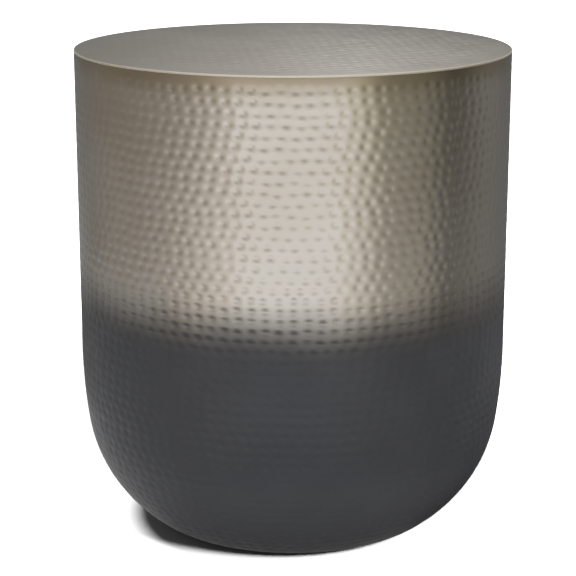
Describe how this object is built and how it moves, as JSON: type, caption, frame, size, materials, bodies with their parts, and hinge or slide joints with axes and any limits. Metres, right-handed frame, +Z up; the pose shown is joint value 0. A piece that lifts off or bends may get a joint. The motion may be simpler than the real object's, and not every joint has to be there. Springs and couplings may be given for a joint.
{
  "type": "drum side table",
  "caption": "Round drum side table in hammered sheet metal, nickel over graphite, with a rounded bottom, a flat top and screw levellers hidden in its foot.",
  "frame": {"origin": "on the floor at the centre of the drum, levellers screwed home", "axes": "+Z up along the drum's axis; the picture looks along +Y"},
  "size_m": [0.406, 0.406, 0.457],
  "materials": {
    "hammered_nickel": "hammered sheet steel, warm satin nickel plate, slightly antiqued",
    "graphite_lacquer": "hammered sheet steel under satin graphite lacquer that fades out at the seam",
    "core_board": "bare fibreboard",
    "mill_steel": "mill finish, welded in",
    "black_plate": "matt black powder coat",
    "zinc_steel": "bright zinc plate",
    "nylon": "moulded black nylon",
    "sole_rubber": "soft grey rubber"
  },
  "bodies": {
    "drum": {"top_sheet": "hammered_nickel", "upper_shell": "hammered_nickel", "lower_bowl": "graphite_lacquer", "top_core_board": "core_board", "rim_ring": "mill_steel", "seam_band": "mill_steel", "base_plate": "black_plate", "top_core_screws": "zinc_steel", "base_plate_screws": "zinc_steel", "base_plate_nuts": "zinc_steel", "leveller_nuts": "zinc_steel"},
    "leveller_1_foot": {"leveller_pad_1": "nylon", "leveller_sole_1": "sole_rubber"},
    "leveller_1_stem": {"leveller_stem_1": "zinc_steel"},
    "leveller_2_foot": {"leveller_pad_2": "nylon", "leveller_sole_2": "sole_rubber"},
    "leveller_2_stem": {"leveller_stem_2": "zinc_steel"},
    "leveller_3_foot": {"leveller_pad_3": "nylon", "leveller_sole_3": "sole_rubber"},
    "leveller_3_stem": {"leveller_stem_3": "zinc_steel"},
    "leveller_4_foot": {"leveller_pad_4": "nylon", "leveller_sole_4": "sole_rubber"},
    "leveller_4_stem": {"leveller_stem_4": "zinc_steel"}
  },
  "joints": [
    {"name": "leveller_1_travel", "type": "slide", "parent": "drum", "child": "leveller_1_foot", "axis": [0, 0, -1], "range_m": [0, 0.01]},
    {"name": "leveller_1_turn", "type": "hinge", "parent": "leveller_1_foot", "child": "leveller_1_stem", "pos_m": [0.09507, 0, 0], "axis": [0, 0, -1], "range_deg": [0, 2880]},
    {"name": "leveller_2_travel", "type": "slide", "parent": "drum", "child": "leveller_2_foot", "axis": [0, 0, -1], "range_m": [0, 0.01]},
    {"name": "leveller_2_turn", "type": "hinge", "parent": "leveller_2_foot", "child": "leveller_2_stem", "pos_m": [0, 0.09507, 0], "axis": [0, 0, -1], "range_deg": [0, 2880]},
    {"name": "leveller_3_travel", "type": "slide", "parent": "drum", "child": "leveller_3_foot", "axis": [0, 0, -1], "range_m": [0, 0.01]},
    {"name": "leveller_3_turn", "type": "hinge", "parent": "leveller_3_foot", "child": "leveller_3_stem", "pos_m": [-0.09507, 0, 0], "axis": [0, 0, -1], "range_deg": [0, 2880]},
    {"name": "leveller_4_travel", "type": "slide", "parent": "drum", "child": "leveller_4_foot", "axis": [0, 0, -1], "range_m": [0, 0.01]},
    {"name": "leveller_4_turn", "type": "hinge", "parent": "leveller_4_foot", "child": "leveller_4_stem", "pos_m": [0, -0.09507, 0], "axis": [0, 0, -1], "range_deg": [0, 2880]}
  ],
  "couplings": [
    {"joint": "leveller_1_travel", "follows": "leveller_1_turn", "m_per_rad": 0.00019894},
    {"joint": "leveller_2_travel", "follows": "leveller_2_turn", "m_per_rad": 0.00019894},
    {"joint": "leveller_3_travel", "follows": "leveller_3_turn", "m_per_rad": 0.00019894},
    {"joint": "leveller_4_travel", "follows": "leveller_4_turn", "m_per_rad": 0.00019894}
  ]
}
